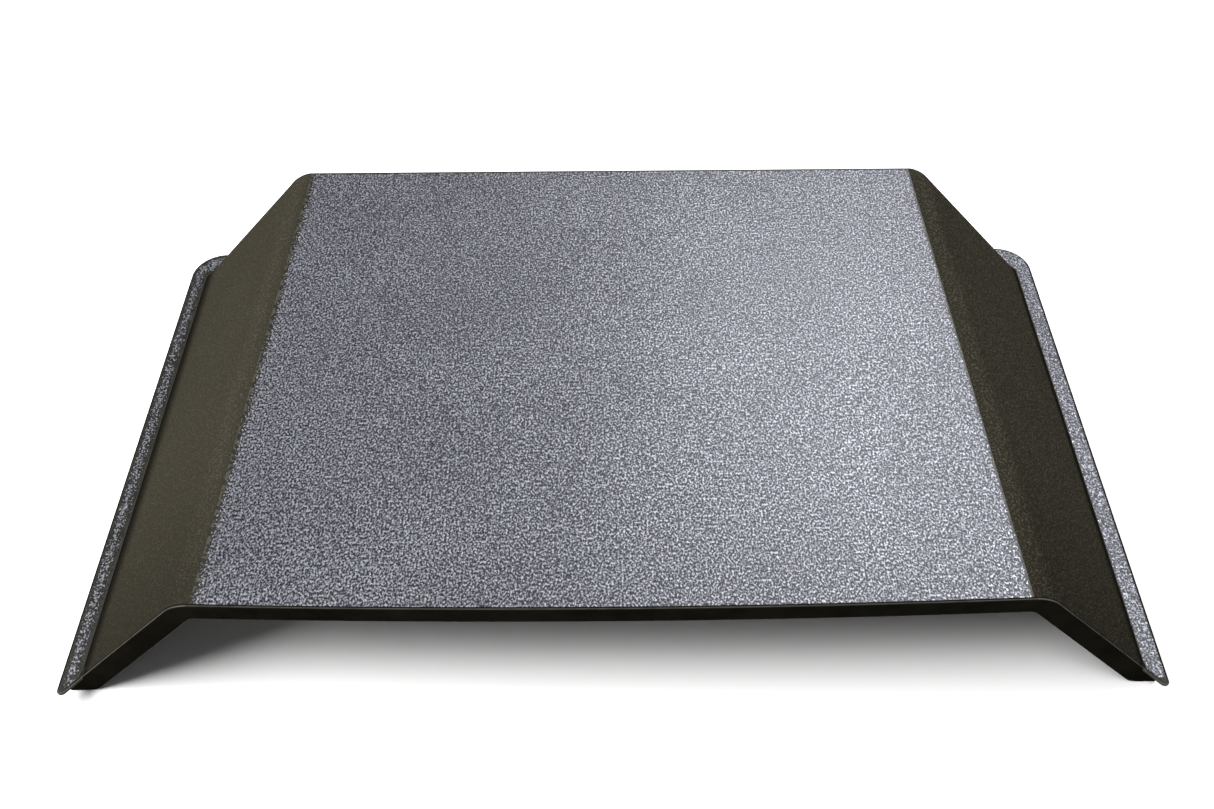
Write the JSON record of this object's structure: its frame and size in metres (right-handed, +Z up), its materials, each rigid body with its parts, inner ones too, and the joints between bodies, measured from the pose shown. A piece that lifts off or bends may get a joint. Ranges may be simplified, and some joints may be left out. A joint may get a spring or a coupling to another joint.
{
  "type": "flat top griddle",
  "caption": "Bridge-shaped flat top griddle of folded steel with a stippled level deck, sloping smooth sides, a bowed front lip and a U-shaped foot frame.",
  "frame": {"origin": "centre of the bounding box on the counter that the griddle stands on", "axes": "+X to the right along the longest side, +Y to the rear, +Z up; the bowed front lip is at -Y and the level deck is on top"},
  "size_m": [0.5532, 0.3211, 0.087],
  "materials": {
    "deck_enamel": "stippled satin coating, bluish grey",
    "side_enamel": "smooth matte coating, dark olive brown",
    "foot_enamel": "stippled satin coating, bluish grey",
    "lip_enamel": "smooth black coating, worn brownish along the crest",
    "underside_enamel": "thin matte black coating over steel",
    "weld_metal": "rippled weld bead, dulled by heat"
  },
  "bodies": {
    "root": {"top_sheet": "underside_enamel", "front_lip": "lip_enamel", "rear_panel": "underside_enamel", "foot_frame": "lip_enamel", "deck_coating": "deck_enamel", "left_side_coating": "side_enamel", "right_side_coating": "side_enamel", "foot_coating": "foot_enamel", "lip_weld": "weld_metal", "rear_panel_weld": "weld_metal", "left_foot_weld": "weld_metal", "right_foot_weld": "weld_metal", "rear_foot_weld": "weld_metal"}
  },
  "joints": []
}
